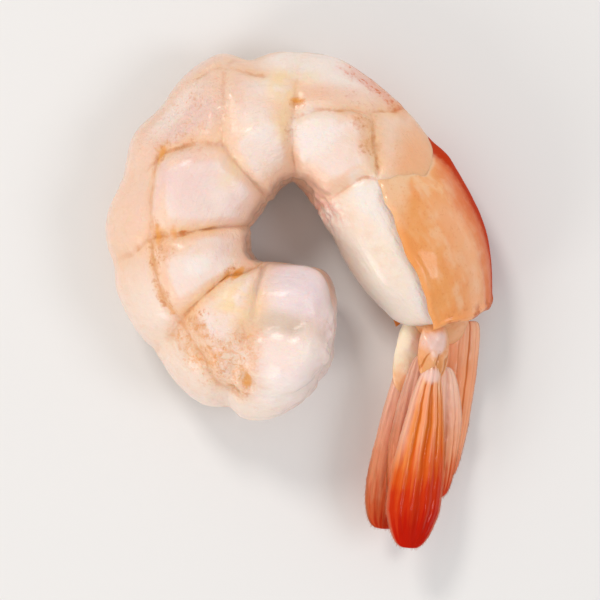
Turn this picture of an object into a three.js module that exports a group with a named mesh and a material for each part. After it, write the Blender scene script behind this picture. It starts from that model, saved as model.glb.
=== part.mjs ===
// One cooked shrimp, peeled, with the tail left on. It lies on its right flank, curled into a hook.
// Millimetres, +Z up. X and Y lie in the plane of the curl, and the origin is under its middle.

import * as THREE from 'three';
import { mergeVertices } from 'three/addons/utils/BufferGeometryUtils.js';

const degrees = Math.PI / 180;

// The body's rows, from the cut neck to the tip of the tail. Each row holds
// run: the way to the next row along the middle of the body, and bend: how far it curls there
// high, wide: half of the body's size from back to belly, and from flank to flank
// roll: how far the belly is turned up, and gap: the flank's height above the ground
const rows = [
  { run: 4.5, bend: 4, high: 10.4, wide: 7.6, roll: 0, gap: 3.0 },
  { run: 5.7, bend: 3, high: 10.6, wide: 7.9, roll: 2, gap: 2.1 },
  { run: 9.2, bend: 40, high: 10.2, wide: 8.0, roll: 4, gap: 0.9 },
  { run: 8.6, bend: 35, high: 8.9, wide: 7.9, roll: 5, gap: -0.3 },
  { run: 13.0, bend: 49, high: 9.5, wide: 7.8, roll: 6, gap: -0.4 },
  { run: 11.3, bend: 51, high: 10.0, wide: 7.6, roll: 8, gap: -0.4 },
  { run: 11.4, bend: 46, high: 8.2, wide: 7.0, roll: 12, gap: -0.1 },
  { run: 11.8, bend: 4, high: 8.5, wide: 6.6, roll: 18, gap: 0.7 },
  { run: 9.6, bend: 18, high: 8.8, wide: 6.0, roll: 24, gap: 1.2 },
  { run: 28.0, bend: 18, high: 6.0, wide: 4.3, roll: 30, gap: 1.2 },
  { run: 0, bend: 0, high: 3.0, wide: 2.4, roll: 30, gap: 0.6 },
];
const neck = { x: 3.9, y: -6.85, heading: 170 };
const bellyBlunt = 0.86; // under 1 is blunter than an ellipse
const bellyWiden = 0.08; // how much wider the belly half is, and how much narrower the back half

// Relief of the flesh
const neckRound = 4.6; // length of the rounded cut end
const neckSlant = { back: 4.3, belly: 1.4, curve: 1.5 }; // how far the cut leans towards the tail
const tailRound = 4.0; // length of the flesh's rounded end inside the last shell
const bluntness = 3.2; // 2 is round, and more is blunter
const backTurn = { from: 35, to: 110 }; // where the back turns into the flank, in degrees from the back
const bellyTurn = { from: 115, to: 165 }; // where the flank turns into the belly
const seam = { depth: 0.95, width: 1.05, atBack: 0.1, atBelly: 0.3 }; // crease between two segments
// Where each crease runs on the flank, and how far it shifts towards the tail at the back and at the belly
const seams = [
  { at: 17.4, back: -2.0, belly: -4.5 },
  { at: 27.3, back: -2.4, belly: 2.4 },
  { at: 40.3, back: -3.0, belly: 0.0 },
  { at: 50.7, back: 0.8, belly: 3.0 },
  { at: 63.6, back: -3.5, belly: 0.5 },
];
// Swellings and dips of the back, where the segments overlap
const backWaves = [
  { at: 10.4, rise: -1.1, width: 1.1 },
  { at: 12.4, rise: 0.7, width: 4.0 },
  { at: 17.3, rise: -0.6, width: 1.6 },
  { at: 25.1, rise: -0.65, width: 1.4 },
  { at: 32.5, rise: -1.4, width: 2.9 },
  { at: 38.8, rise: -1.3, width: 2.8 },
  { at: 44.9, rise: 0.6, width: 1.9 },
  { at: 47.0, rise: -0.95, width: 1.4 },
  { at: 53.4, rise: 0.8, width: 3.1 },
];
const muscle = { rise: 0.75, from: 70, to: 154, blend: 12 }; // blocks between the creases on the flank
const flankSeam = { depth: 0.5, width: 7 }; // crease along the flank, its width in degrees
const veinCut = { depth: 0.9, width: 7, from: 4, to: 58, fade: 6 }; // slit along the back
const bellyFold = { depth: 0.6, width: 12 };
const faceLobes = { rise: 0.6, swell: 0.5, fade: 9 }; // lobes of muscle on the cut face
const lobeEdges = [0, 52, 101, 180]; // where they part, in degrees from the back

// Last shell
const shellWall = 0.6;
const shellGap = 0.45;
const shellReach = { front: 104, rear: 124 }; // degrees from the back to the free edges along the belly
const shellFront = { back: -0.6, flank: 3.2, edge: 1.6 }; // from the joint to the shell's front edge
const shellRear = { back: -1.2, edge: -0.8 }; // from the last joint to the shell's rear edge

// Tail fan. Places are [along the tail, towards the back, towards the upper flank] from the last joint.
// taper says how much a blade narrows away from its widest place, which is a share of its length
const fanBlades = {
  telson: {
    root: [0.1, 3.3, 0.3], tip: [19.4, 4.8, -0.2],
    width: 6.2, thick: 1.4, arch: 0.7, tilt: 0, widest: 0, taper: 0.4, rootBlunt: 0.3,
  },
  uropod_inner_left: {
    root: [6.1, 0.0, 1.9], tip: [22.0, 2.6, 1.5],
    width: 6.0, thick: 0.8, arch: 0.4, tilt: -6, widest: 0.4, taper: 0.4, rootBlunt: 0.6,
  },
  uropod_outer_left: {
    root: [6.1, -2.6, 3.2], tip: [28.6, -2.0, 3.6],
    width: 8.4, thick: 0.9, arch: 0.6, tilt: -12, widest: 0.8, taper: 0.7, rootBlunt: 0.6,
  },
  uropod_inner_right: {
    root: [6.0, -2.6, 0.4], tip: [23.6, -2.9, 0.3],
    width: 5.4, thick: 0.7, arch: 0.3, tilt: 2, widest: 0.6, taper: 0.4, rootBlunt: 0.5,
  },
  uropod_outer_right: {
    root: [5.7, -2.5, -1.2], tip: [27.2, -3.0, -1.7],
    width: 8.6, thick: 0.9, arch: 0.4, tilt: 4, widest: 0.85, taper: 0.4, rootBlunt: 0.35,
  },
};
const fanBases = {
  uropod_base_left: { root: [0.3, -2.4, 2.1], tip: [5.7, -2.1, 2.7], width: 4.4, thick: 2.2 },
  uropod_base_right: { root: [0.8, -3.0, -0.8], tip: [5.2, -2.9, -0.9], width: 5.4, thick: 2.0 },
};
const tipBlunt = 0.6; // like each blade's rootBlunt, and smaller is blunter
const lensBlunt = 0.5; // the same for a blade's thickness, and then for the bases
const baseBlunt = 0.35;
const fanAim = { heading: -99, slope: -0.06 }; // the fan points a little down towards the ground
const ridge = { rise: 0.3, width: 0.3 }; // rib along a blade, its width as a share of half the blade's

// Where each row lies along the middle line, and which way the body heads there
const stations = [];
let travelled = 0;
let heading = neck.heading;
for (const row of rows) {
  stations.push({ ...row, at: travelled, heading });
  travelled += row.run;
  heading -= row.bend;
}
const fullLength = stations.at(-1).at;
const lastJoint = stations.at(-2).at;
const shellJoint = stations.at(-4).at;

// A smooth curve through one value of the joints, read at a place along the middle line
function through(name, at) {
  const last = stations.length - 1;
  let i = stations.findIndex((station) => station.at > at) - 1;
  if (i < 0) i = at <= 0 ? 0 : last - 1;
  const slope = (k) => {
    const before = stations[Math.max(k - 1, 0)];
    const after = stations[Math.min(k + 1, last)];
    return (after[name] - before[name]) / (after.at - before.at);
  };
  const length = stations[i + 1].at - stations[i].at;
  const t = THREE.MathUtils.clamp((at - stations[i].at) / length, 0, 1);
  const rest = 1 - t;
  return (
    (1 + 2 * t) * rest * rest * stations[i][name] +
    t * rest * rest * length * slope(i) +
    t * t * (3 - 2 * t) * stations[i + 1][name] -
    t * t * rest * length * slope(i + 1)
  );
}

// Height of the middle line, so that the flank lies its gap above the ground
function middleHeight(at) {
  const roll = through('roll', at) * degrees;
  const reach = Math.hypot(through('high', at) * Math.sin(roll), through('wide', at) * Math.cos(roll));
  return reach + through('gap', at);
}

// The middle line, walked in short steps
const stepLength = 0.25;
const walk = [];
const foot = new THREE.Vector2(neck.x, neck.y);
for (let at = 0; at <= fullLength + stepLength; at += stepLength) {
  walk.push(foot.clone());
  const angle = through('heading', at + stepLength / 2) * degrees;
  foot.x += Math.cos(angle) * stepLength;
  foot.y += Math.sin(angle) * stepLength;
}

// Place and directions of the body at one point of its middle line
function frameAt(at, aim) {
  const cell = THREE.MathUtils.clamp(at / stepLength, 0, walk.length - 1.001);
  const foot = walk[Math.floor(cell)].clone().lerp(walk[Math.floor(cell) + 1], cell % 1);
  const place = new THREE.Vector3(foot.x, foot.y, middleHeight(at));
  const climb = (middleHeight(at + stepLength) - middleHeight(at - stepLength)) / (2 * stepLength);
  const { heading, slope } = aim ?? { heading: through('heading', at), slope: climb };
  const angle = heading * degrees;
  const roll = through('roll', at) * degrees;
  const tailward = new THREE.Vector3(Math.cos(angle), Math.sin(angle), slope).normalize();
  const outward = new THREE.Vector3(-Math.sin(angle), Math.cos(angle), 0);
  const upward = new THREE.Vector3().crossVectors(tailward, outward);
  const back = outward.clone().multiplyScalar(Math.cos(roll)).addScaledVector(upward, -Math.sin(roll));
  const flank = outward.clone().multiplyScalar(Math.sin(roll)).addScaledVector(upward, Math.cos(roll));
  return { place, tailward, back, flank };
}

const bell = (distance, width) => Math.exp(-((distance / width) ** 2));
const ease = (value, from, to) => THREE.MathUtils.smoothstep(value, Math.min(from, to), Math.max(from, to));
const sideAngle = (around) => Math.acos(Math.cos(around)) / degrees; // 0 at the back, 180 at the belly

// Lobes on each side of the cut face: 0 where two of them part, and 1 at the top of each
function lobes(around) {
  const side = Math.min(sideAngle(around), 179.9);
  const next = lobeEdges.findIndex((edge) => edge > side);
  return Math.sin((Math.PI * (side - lobeEdges[next - 1])) / (lobeEdges[next] - lobeEdges[next - 1]));
}

// Swell of the segments between their creases, and the creases themselves
function segmentRelief(at, side) {
  const onBack = 1 - ease(side, backTurn.from, backTurn.to);
  const onBelly = ease(side, bellyTurn.from, bellyTurn.to);
  const onBlock = ease(side, muscle.from - muscle.blend / 2, muscle.from + muscle.blend) *
    (1 - ease(side, muscle.to - muscle.blend, muscle.to + muscle.blend));
  const seamDepth = seam.depth * (1 - (1 - seam.atBack) * onBack) * (1 - (1 - seam.atBelly) * onBelly);
  let rise = 0;
  let before = -neckRound;
  for (const { at: flank, back, belly } of seams) {
    const line = flank + back * onBack + belly * onBelly;
    rise -= seamDepth * bell(at - line, seam.width);
    if (at > before && at <= line) {
      rise += muscle.rise * onBlock * (1 - (2 * (at - before) / (line - before) - 1) ** 4);
    }
    before = line;
  }
  for (const wave of backWaves) {
    rise += wave.rise * onBack * bell(at - wave.at, wave.width);
  }
  return rise;
}

// How far the flesh stands out from its plain section
function relief(at, around) {
  const side = sideAngle(around);
  const bare = 1 - ease(at, shellJoint - 1, shellJoint + 2);
  const cut = ease(at, 0, veinCut.from) * (1 - ease(at, veinCut.to - veinCut.fade, veinCut.to));
  const atFace = 1 - ease(at, 0, faceLobes.fade);
  const rise = segmentRelief(at, side) + faceLobes.swell * lobes(around) * atFace -
    flankSeam.depth * bell(side - muscle.from, flankSeam.width) -
    bellyFold.depth * bell(180 - side, bellyFold.width) -
    veinCut.depth * bell(side, veinCut.width) * cut;
  return rise * bare;
}

// A point on the body's section, blunter and wider towards the belly
function sectionPoint(at, around, share, extra) {
  const { place, back, flank } = frameAt(at);
  const across = Math.cos(around);
  const blunt = across < 0 ? -((-across) ** bellyBlunt) : across;
  const reach = new THREE.Vector3()
    .addScaledVector(back, through('high', at) * blunt)
    .addScaledVector(flank, through('wide', at) * Math.sin(around) * (1 - bellyWiden * across));
  const radius = reach.length();
  return place.addScaledVector(reach, share * (1 + extra / radius));
}

// Shares of the length and of the thickness for a rounded end, from 0 at its tip to 1 where it is full
const endRun = (turn) => 1 - Math.cos(turn) ** (2 / bluntness);
const endRadius = (turn) => Math.sin(turn) ** (2 / bluntness);

function fleshPoint(along, around) {
  const neckShare = 0.11; // share of the mesh's rows
  const tailShare = 0.06;
  const end = lastJoint - 0.5;
  const across = Math.cos(around);
  const slant = (across > 0 ? neckSlant.back : neckSlant.belly) *
    Math.abs(across) ** neckSlant.curve;
  let at;
  let share = 1;
  if (along < neckShare) {
    const turn = (along / neckShare) * (Math.PI / 2);
    share = endRadius(turn);
    at = neckRound * endRun(turn) + share * (slant - faceLobes.rise * lobes(around) * (1 - share ** 4));
  } else if (along > 1 - tailShare) {
    const turn = ((1 - along) / tailShare) * (Math.PI / 2);
    share = endRadius(turn);
    at = end - tailRound * endRun(turn);
  } else {
    const run = (along - neckShare) / (1 - neckShare - tailShare);
    at = THREE.MathUtils.lerp(neckRound + slant, end - tailRound, run);
  }
  const point = sectionPoint(at, around, share, relief(at, around));
  point.z = Math.max(point.z, 0);
  return point;
}

function shellPoint(along, across, outside) {
  const edge = Math.abs(across);
  const onFlank = ease(edge, 0.1, 0.6);
  const atEdge = ease(edge, 0.6, 1);
  const front = shellJoint + THREE.MathUtils.lerp(shellFront.back, shellFront.flank, onFlank) +
    (shellFront.edge - shellFront.flank) * atEdge;
  const rear = lastJoint + THREE.MathUtils.lerp(shellRear.back, shellRear.edge, onFlank);
  const at = THREE.MathUtils.lerp(front, rear, along);
  const side = across * THREE.MathUtils.lerp(shellReach.front, shellReach.rear, along);
  const extra = shellGap + (outside ? shellWall : 0);
  return sectionPoint(at, side * degrees, 1, extra);
}

// The tail fan's own directions, fixed at the last joint
const fan = frameAt(lastJoint, fanAim);

function fanPlace([along, back, flank]) {
  return fan.place.clone()
    .addScaledVector(fan.tailward, along)
    .addScaledVector(fan.back, back)
    .addScaledVector(fan.flank, flank);
}

// A thin arched leaf from its root to its tip, with a rib along its middle
function bladePoint(blade, along, around) {
  const root = fanPlace(blade.root);
  const axis = fanPlace(blade.tip).sub(root);
  const tilt = blade.tilt * degrees;
  const facing = fan.flank.clone().multiplyScalar(Math.cos(tilt)).addScaledVector(fan.back, Math.sin(tilt));
  const sideways = new THREE.Vector3().crossVectors(facing, axis).normalize();
  const outward = new THREE.Vector3().crossVectors(axis, sideways).normalize();
  const turn = along * Math.PI;
  const run = (1 - Math.cos(turn)) / 2;
  const blunt = THREE.MathUtils.lerp(blade.rootBlunt, tipBlunt, run);
  const leaf = Math.sin(turn) ** blunt * (1 - blade.taper * Math.abs(run - blade.widest));
  const x = Math.cos(around);
  const y = Math.sin(around);
  const lens = y * (blade.thick / 2) * Math.sin(turn) ** lensBlunt;
  const rib = ridge.rise * bell(x, ridge.width) * leaf * y;
  const arch = blade.arch * leaf * (0.5 - x * x);
  return root
    .addScaledVector(axis, run)
    .addScaledVector(sideways, (blade.width / 2) * leaf * x)
    .addScaledVector(outward, lens + rib + arch);
}

// The short stout base that carries two blades
function basePoint(base, along, around) {
  const root = fanPlace(base.root);
  const axis = fanPlace(base.tip).sub(root);
  const sideways = new THREE.Vector3().crossVectors(fan.flank, axis).normalize();
  const outward = new THREE.Vector3().crossVectors(axis, sideways).normalize();
  const turn = along * Math.PI;
  const girth = Math.sin(turn) ** baseBlunt;
  return root
    .addScaledVector(axis, (1 - Math.cos(turn)) / 2)
    .addScaledVector(sideways, (base.width / 2) * girth * Math.cos(around))
    .addScaledVector(outward, (base.thick / 2) * girth * Math.sin(around));
}

// Moves every point of a ready-made geometry by a rule and joins the points that meet
function reshape(geometry, rule) {
  const position = geometry.getAttribute('position');
  const uv = geometry.getAttribute('uv');
  const point = new THREE.Vector3();
  for (let i = 0; i < position.count; i += 1) {
    point.fromBufferAttribute(position, i);
    const moved = rule(point, uv.getX(i), uv.getY(i));
    position.setXYZ(i, moved.x, moved.y, moved.z);
  }
  geometry.deleteAttribute('uv');
  geometry.deleteAttribute('normal');
  const joined = mergeVertices(geometry, 1e-4);
  joined.computeVertexNormals();
  return joined;
}

// A ball drawn out into a long body: its poles become the two ends
function longBody(around, along, pointAt) {
  const ball = new THREE.SphereGeometry(1, around, along);
  return reshape(ball, (point, u, v) => {
    const atPole = v < 1e-6 || v > 1 - 1e-6;
    return pointAt(1 - v, atPole || u > 1 - 1e-6 ? 0 : -u * 2 * Math.PI);
  });
}

// A flat block bent into a thin wall: x runs across, y along, and z from the inside to the outside
function bentWall(across, along, pointAt) {
  const block = new THREE.BoxGeometry(2, 1, 1, across, along, 1);
  return reshape(block, (point) => pointAt(0.5 - point.y, -point.x, point.z > 0));
}

const fleshMaterial = new THREE.MeshStandardMaterial({ color: 0xf3dcd2, roughness: 0.38, metalness: 0 });
const shellMaterial = new THREE.MeshStandardMaterial({ color: 0xe8a379, roughness: 0.3, metalness: 0 });
const bladeMaterial = new THREE.MeshStandardMaterial({ color: 0xdb6a35, roughness: 0.32, metalness: 0 });
const baseMaterial = new THREE.MeshStandardMaterial({ color: 0xebb9a2, roughness: 0.35, metalness: 0 });

const shrimp = new THREE.Group();

function addPiece(name, geometry, material) {
  const piece = new THREE.Mesh(geometry, material);
  piece.name = name;
  shrimp.add(piece);
}

addPiece('flesh', longBody(36, 118, fleshPoint), fleshMaterial);
addPiece('tail_shell', bentWall(20, 12, shellPoint), shellMaterial);
for (const [name, blade] of Object.entries(fanBlades)) {
  addPiece(name, longBody(16, 16, (along, around) => bladePoint(blade, along, around)), bladeMaterial);
}
for (const [name, base] of Object.entries(fanBases)) {
  addPiece(name, longBody(12, 8, (along, around) => basePoint(base, along, around)), baseMaterial);
}

export default shrimp;
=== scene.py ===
# A cooked, peeled shrimp with its tail on, lying on its flank.
# The code works in millimetres and degrees. Meshes are written in metres.
import math

import bpy
import numpy as np
from mathutils import Matrix, Vector


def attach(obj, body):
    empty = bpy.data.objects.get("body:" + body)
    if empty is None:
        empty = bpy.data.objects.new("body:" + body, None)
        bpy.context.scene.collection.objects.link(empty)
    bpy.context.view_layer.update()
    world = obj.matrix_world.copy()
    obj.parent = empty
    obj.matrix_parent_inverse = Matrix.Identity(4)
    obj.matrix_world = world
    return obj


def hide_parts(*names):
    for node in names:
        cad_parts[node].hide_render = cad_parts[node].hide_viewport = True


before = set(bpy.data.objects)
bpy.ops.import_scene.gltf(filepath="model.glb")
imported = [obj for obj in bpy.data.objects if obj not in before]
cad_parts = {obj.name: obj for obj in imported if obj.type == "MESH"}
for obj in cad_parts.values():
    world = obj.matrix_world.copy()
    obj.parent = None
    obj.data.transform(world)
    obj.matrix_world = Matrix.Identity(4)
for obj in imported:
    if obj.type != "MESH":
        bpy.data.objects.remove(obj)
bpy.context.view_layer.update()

mm = 0.001
skinPerDegree = 0.148  # millimetres of skin for each degree round the body

# The body's middle line, the same as in the CAD
bodyLine = {
    # run, bend, half height, half width, roll of the belly upwards, gap under the flank
    "rows": [
        (4.5, 4, 10.4, 7.6, 0, 3.0),
        (5.7, 3, 10.6, 7.9, 2, 2.1),
        (9.2, 40, 10.2, 8.0, 4, 0.9),
        (8.6, 35, 8.9, 7.9, 5, -0.3),
        (13.0, 49, 9.5, 7.8, 6, -0.4),
        (11.3, 51, 10.0, 7.6, 8, -0.4),
        (11.4, 46, 8.2, 7.0, 12, -0.1),
        (11.8, 4, 8.5, 6.6, 18, 0.7),
        (9.6, 18, 8.8, 6.0, 24, 1.2),
        (28.0, 18, 6.0, 4.3, 30, 1.2),
        (0.0, 0, 3.0, 2.4, 30, 0.6),
    ],
    "neckPlace": (3.9, -6.85),
    "neckHeading": 170,
    "bellyBlunt": 0.86,
    "bellyWiden": 0.08,
    "step": 0.25,
}
runs, bends, highs, wides, rolls, gaps = np.array(bodyLine["rows"], float).T
stationAt = np.concatenate([[0], np.cumsum(runs[:-1])])
stationValues = {
    "high": highs,
    "wide": wides,
    "roll": rolls,
    "gap": gaps,
    "heading": bodyLine["neckHeading"] - np.concatenate([[0], np.cumsum(bends[:-1])]),
}
fullLength = stationAt[-1]
lastJoint = stationAt[-2]
shellJoint = stationAt[-4]


def through(name, at):
    # A smooth curve through the stations
    values = stationValues[name]
    last = len(stationAt) - 1
    before = np.maximum(np.arange(last + 1) - 1, 0)
    after = np.minimum(np.arange(last + 1) + 1, last)
    slope = (values[after] - values[before]) / (stationAt[after] - stationAt[before])
    k = np.clip(np.searchsorted(stationAt, at, side="right") - 1, 0, last - 1)
    length = stationAt[k + 1] - stationAt[k]
    t = np.clip((at - stationAt[k]) / length, 0, 1)
    rest = 1 - t
    return (
        (1 + 2 * t) * rest * rest * values[k]
        + t * rest * rest * length * slope[k]
        + t * t * (3 - 2 * t) * values[k + 1]
        - t * t * rest * length * slope[k + 1]
    )


def middleHeight(at):
    roll = np.radians(through("roll", at))
    reach = np.hypot(through("high", at) * np.sin(roll), through("wide", at) * np.cos(roll))
    return reach + through("gap", at)


walkAt = np.arange(0, fullLength + 2 * bodyLine["step"], bodyLine["step"])
walkTurn = np.radians(through("heading", walkAt + bodyLine["step"] / 2))
walkX = bodyLine["neckPlace"][0] + np.concatenate([[0], np.cumsum(np.cos(walkTurn))[:-1]]) * bodyLine["step"]
walkY = bodyLine["neckPlace"][1] + np.concatenate([[0], np.cumsum(np.sin(walkTurn))[:-1]]) * bodyLine["step"]


def frameAt(at, heading=None, slope=None):
    # Place, tailward, back and upper flank at a way along the body
    at = np.asarray(at, float)
    step = bodyLine["step"]
    place = np.stack([np.interp(at, walkAt, walkX), np.interp(at, walkAt, walkY), middleHeight(at)], -1)
    if heading is None:
        heading = through("heading", at)
        slope = (middleHeight(at + step) - middleHeight(at - step)) / (2 * step)
    angle = np.radians(heading)
    roll = np.radians(through("roll", at))[..., None]
    flat = np.zeros_like(at)
    tailward = np.stack([np.cos(angle) + flat, np.sin(angle) + flat, slope + flat], -1)
    tailward /= np.linalg.norm(tailward, axis=-1, keepdims=True)
    outward = np.stack([-np.sin(angle) + flat, np.cos(angle) + flat, flat], -1)
    upward = np.cross(tailward, outward)
    back = outward * np.cos(roll) - upward * np.sin(roll)
    flank = outward * np.sin(roll) + upward * np.cos(roll)
    return place, tailward, back, flank


def sectionPoint(at, around, share=1.0, extra=0.0):
    # A point on the body's skin. around is in radians from the back over the upper flank
    place, tailward, back, flank = frameAt(at)
    across = np.cos(around)
    blunt = np.where(across < 0, -(np.abs(across) ** bodyLine["bellyBlunt"]), across)
    sideways = np.sin(around) * (1 - bodyLine["bellyWiden"] * across)
    reach = back * (through("high", at) * blunt)[..., None]
    reach = reach + flank * (through("wide", at) * sideways)[..., None]
    radius = np.linalg.norm(reach, axis=-1)
    return place + reach * (share * (1 + extra / radius))[..., None]


def bell(distance, width):
    return np.exp(-((distance / width) ** 2))


def ease(value, start, end):
    t = np.clip((value - start) / (end - start), 0, 1)
    return t * t * (3 - 2 * t)


def cloud(points, size, seed):
    # Smooth noise from -1 to 1
    lattice = np.random.default_rng(seed).uniform(-1, 1, (24, 24, 24))
    place = points / size + 96
    cell = np.floor(place).astype(int)
    t = place - cell
    t = t * t * (3 - 2 * t)
    total = 0
    for corner in np.ndindex(2, 2, 2):
        weight = np.prod(np.where(corner, t, 1 - t), axis=-1)
        spot = (cell + corner) % 24
        total = total + weight * lattice[spot[..., 0], spot[..., 1], spot[..., 2]]
    return total


def pathDistance(at, side, path):
    # Distance in millimetres over the skin to a path of (way along, degrees from the back)
    nearest = np.full(np.shape(at), 1e6)
    for (atA, sideA), (atB, sideB) in zip(path[:-1], path[1:]):
        runX = atB - atA
        runY = (sideB - sideA) * skinPerDegree
        x = at - atA
        y = (side - sideA) * skinPerDegree
        t = np.clip((x * runX + y * runY) / (runX * runX + runY * runY), 0, 1)
        nearest = np.minimum(nearest, np.hypot(x - t * runX, y - t * runY))
    return nearest


def addMesh(name, points, faces, attributes=None):
    # A closed mesh from points in millimetres, turned the right way out
    points = np.asarray(points, float)
    first, second, third, fourth = (points[[face[k] for face in faces]] for k in (0, 1, 2, -1))
    volume = np.sum(first * (np.cross(second, third) + np.cross(third, fourth)))
    if volume < 0:
        faces = [tuple(reversed(face)) for face in faces]
    mesh = bpy.data.meshes.new(name)
    mesh.from_pydata((points * mm).tolist(), [], faces)
    for label, values in (attributes or {}).items():
        attribute = mesh.attributes.new(label, "FLOAT", "POINT")
        attribute.data.foreach_set("value", np.asarray(values, np.float32).ravel())
    mesh.shade_smooth()
    piece = bpy.data.objects.new(name, mesh)
    bpy.context.scene.collection.objects.link(piece)
    return piece


def addBall(name, grid, attributes=None):
    # grid holds rows of points from one pole to the other, and its end rows are one point each
    rows, columns = grid.shape[:2]
    pick = np.concatenate([[0], np.arange(columns, (rows - 1) * columns), [(rows - 1) * columns]])
    points = grid.reshape(-1, 3)[pick]
    values = {label: field.reshape(-1)[pick] for label, field in (attributes or {}).items()}
    number = lambda row, column: 1 + (row - 1) * columns + column % columns
    faces = []
    for column in range(columns):
        faces.append((0, number(1, column), number(1, column + 1)))
        for row in range(1, rows - 2):
            corners = [(row, column), (row + 1, column), (row + 1, column + 1), (row, column + 1)]
            faces.append(tuple(number(*corner) for corner in corners))
        faces.append((number(rows - 2, column), len(points) - 1, number(rows - 2, column + 1)))
    return addMesh(name, points, faces, values)


def addWall(name, outer, inner, attributes=None):
    # Two sheets of points joined round their edges
    rows, columns = outer.shape[:2]
    points = np.concatenate([outer.reshape(-1, 3), inner.reshape(-1, 3)])
    values = {label: np.tile(field.ravel(), 2) for label, field in (attributes or {}).items()}
    under = rows * columns
    faces = []
    for row in range(rows - 1):
        for column in range(columns - 1):
            a = row * columns + column
            faces.append((a, a + 1, a + columns + 1, a + columns))
            faces.append((under + a, under + a + columns, under + a + columns + 1, under + a + 1))
    rim = list(range(columns - 1))
    rim += [row * columns + columns - 1 for row in range(rows - 1)]
    rim += [(rows - 1) * columns + column for column in range(columns - 1, 0, -1)]
    rim += [row * columns for row in range(rows - 1, 0, -1)]
    for a, b in zip(rim, rim[1:] + rim[:1]):
        faces.append((b, a, under + a, under + b))
    return addMesh(name, points, faces, values)


class Wire:
    # One value in a node tree. Python's operators add the Math nodes

    def __init__(self, board, socket):
        self.board = board
        self.socket = socket

    def __add__(self, other):
        return self.board.math("ADD", self, other)

    def __radd__(self, other):
        return self.board.math("ADD", other, self)

    def __sub__(self, other):
        return self.board.math("SUBTRACT", self, other)

    def __rsub__(self, other):
        return self.board.math("SUBTRACT", other, self)

    def __mul__(self, other):
        return self.board.math("MULTIPLY", self, other)

    def __rmul__(self, other):
        return self.board.math("MULTIPLY", other, self)

    def __truediv__(self, other):
        return self.board.math("DIVIDE", self, other)

    def __rtruediv__(self, other):
        return self.board.math("DIVIDE", other, self)

    def __pow__(self, other):
        return self.board.math("POWER", self, other)

    def __neg__(self):
        return self.board.math("MULTIPLY", self, -1.0)


class Board:
    # A node tree, for a material or for Geometry Nodes

    def __init__(self, tree):
        self.tree = tree

    def add(self, kind, settings=None, inputs=None, output=0):
        node = self.tree.nodes.new(kind)
        for name, value in (settings or {}).items():
            setattr(node, name, value)
        for name, value in (inputs or {}).items():
            self.feed(node.inputs[name], value)
        return Wire(self, node.outputs[output]) if len(node.outputs) else node

    def feed(self, socket, value):
        if isinstance(value, Wire):
            self.tree.links.new(value.socket, socket)
        else:
            socket.default_value = value

    def math(self, operation, first, second=0.0, third=0.0):
        return self.add("ShaderNodeMath", {"operation": operation}, {0: first, 1: second, 2: third})

    def vector(self, operation, first, second=(0.0, 0.0, 0.0)):
        return self.add("ShaderNodeVectorMath", {"operation": operation}, {0: first, 1: second})

    def scaled(self, vector, scale):
        return self.add("ShaderNodeVectorMath", {"operation": "SCALE"}, {0: vector, "Scale": scale})

    def ease(self, value, start, end):
        inputs = {"Value": value, "From Min": start, "From Max": end, "To Min": 0.0, "To Max": 1.0}
        if start > end:
            inputs.update({"From Min": end, "From Max": start, "To Min": 1.0, "To Max": 0.0})
        return self.add("ShaderNodeMapRange", {"interpolation_type": "SMOOTHSTEP"}, inputs)

    def split(self, vector):
        # A vector's three parts
        node = self.add("ShaderNodeSeparateXYZ", None, {"Vector": vector}).socket.node
        return [Wire(self, output) for output in node.outputs]

    def bell(self, distance, width):
        return self.math("EXPONENT", -((distance / width) ** 2.0))

    def attributes(self, *names):
        return [self.add("ShaderNodeAttribute", {"attribute_name": name}, None, "Fac") for name in names]

    def place(self):
        return self.add("ShaderNodeTexCoord", None, None, "Object")

    def combined(self, x, y, z=0.0):
        return self.add("ShaderNodeCombineXYZ", None, {"X": x, "Y": y, "Z": z})

    def rawNoise(self, vector, scale=1.0, detail=2.0, roughness=0.5):
        # Even noise about 0.5
        inputs = {"Vector": vector, "Scale": scale, "Detail": detail, "Roughness": roughness}
        return self.add("ShaderNodeTexNoise", None, inputs)

    def noise(self, place, size, detail=2.0, roughness=0.5):
        # The same, with its grain size in millimetres
        return self.rawNoise(place, 1 / (size * mm), detail, roughness)

    def moved(self, geometry, move, offset=False):
        # Points set to a place, or moved by an offset, in millimetres
        label = "Offset" if offset else "Position"
        inputs = {"Geometry": geometry, label: self.scaled(move, mm)}
        return self.add("GeometryNodeSetPosition", None, inputs)

    def blend(self, mask, under, over):
        settings = {"data_type": "RGBA", "clamp_factor": True}
        return self.add("ShaderNodeMix", settings, {0: mask, 6: under, 7: over}, 2)


class Paint:
    # Colours laid over each other, each through its own mask

    def __init__(self, board, *shade):
        self.board = board
        self.colour = tone(*shade)

    def lay(self, mask, *shade):
        self.colour = self.board.blend(mask, self.colour, tone(*shade))


def tone(red, green, blue):
    # A display colour, 0 to 255, as the shader's linear colour
    shares = [value / 255 for value in (red, green, blue)]
    linear = [share / 12.92 if share < 0.0404 else ((share + 0.055) / 1.055) ** 2.4 for share in shares]
    return (*linear, 1.0)


def newMaterial(name, constants):
    # A Principled material whose even values sit on its own sockets
    material = bpy.data.materials.new(name)
    material.use_nodes = True
    board = Board(material.node_tree)
    shader = material.node_tree.nodes["Principled BSDF"]
    for socket, value in constants.items():
        shader.inputs[socket].default_value = value
    return material, board, shader


def bump(board, height, strength, distance):
    inputs = {"Height": height, "Strength": strength, "Distance": distance * mm}
    return board.add("ShaderNodeBump", None, inputs)


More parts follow.
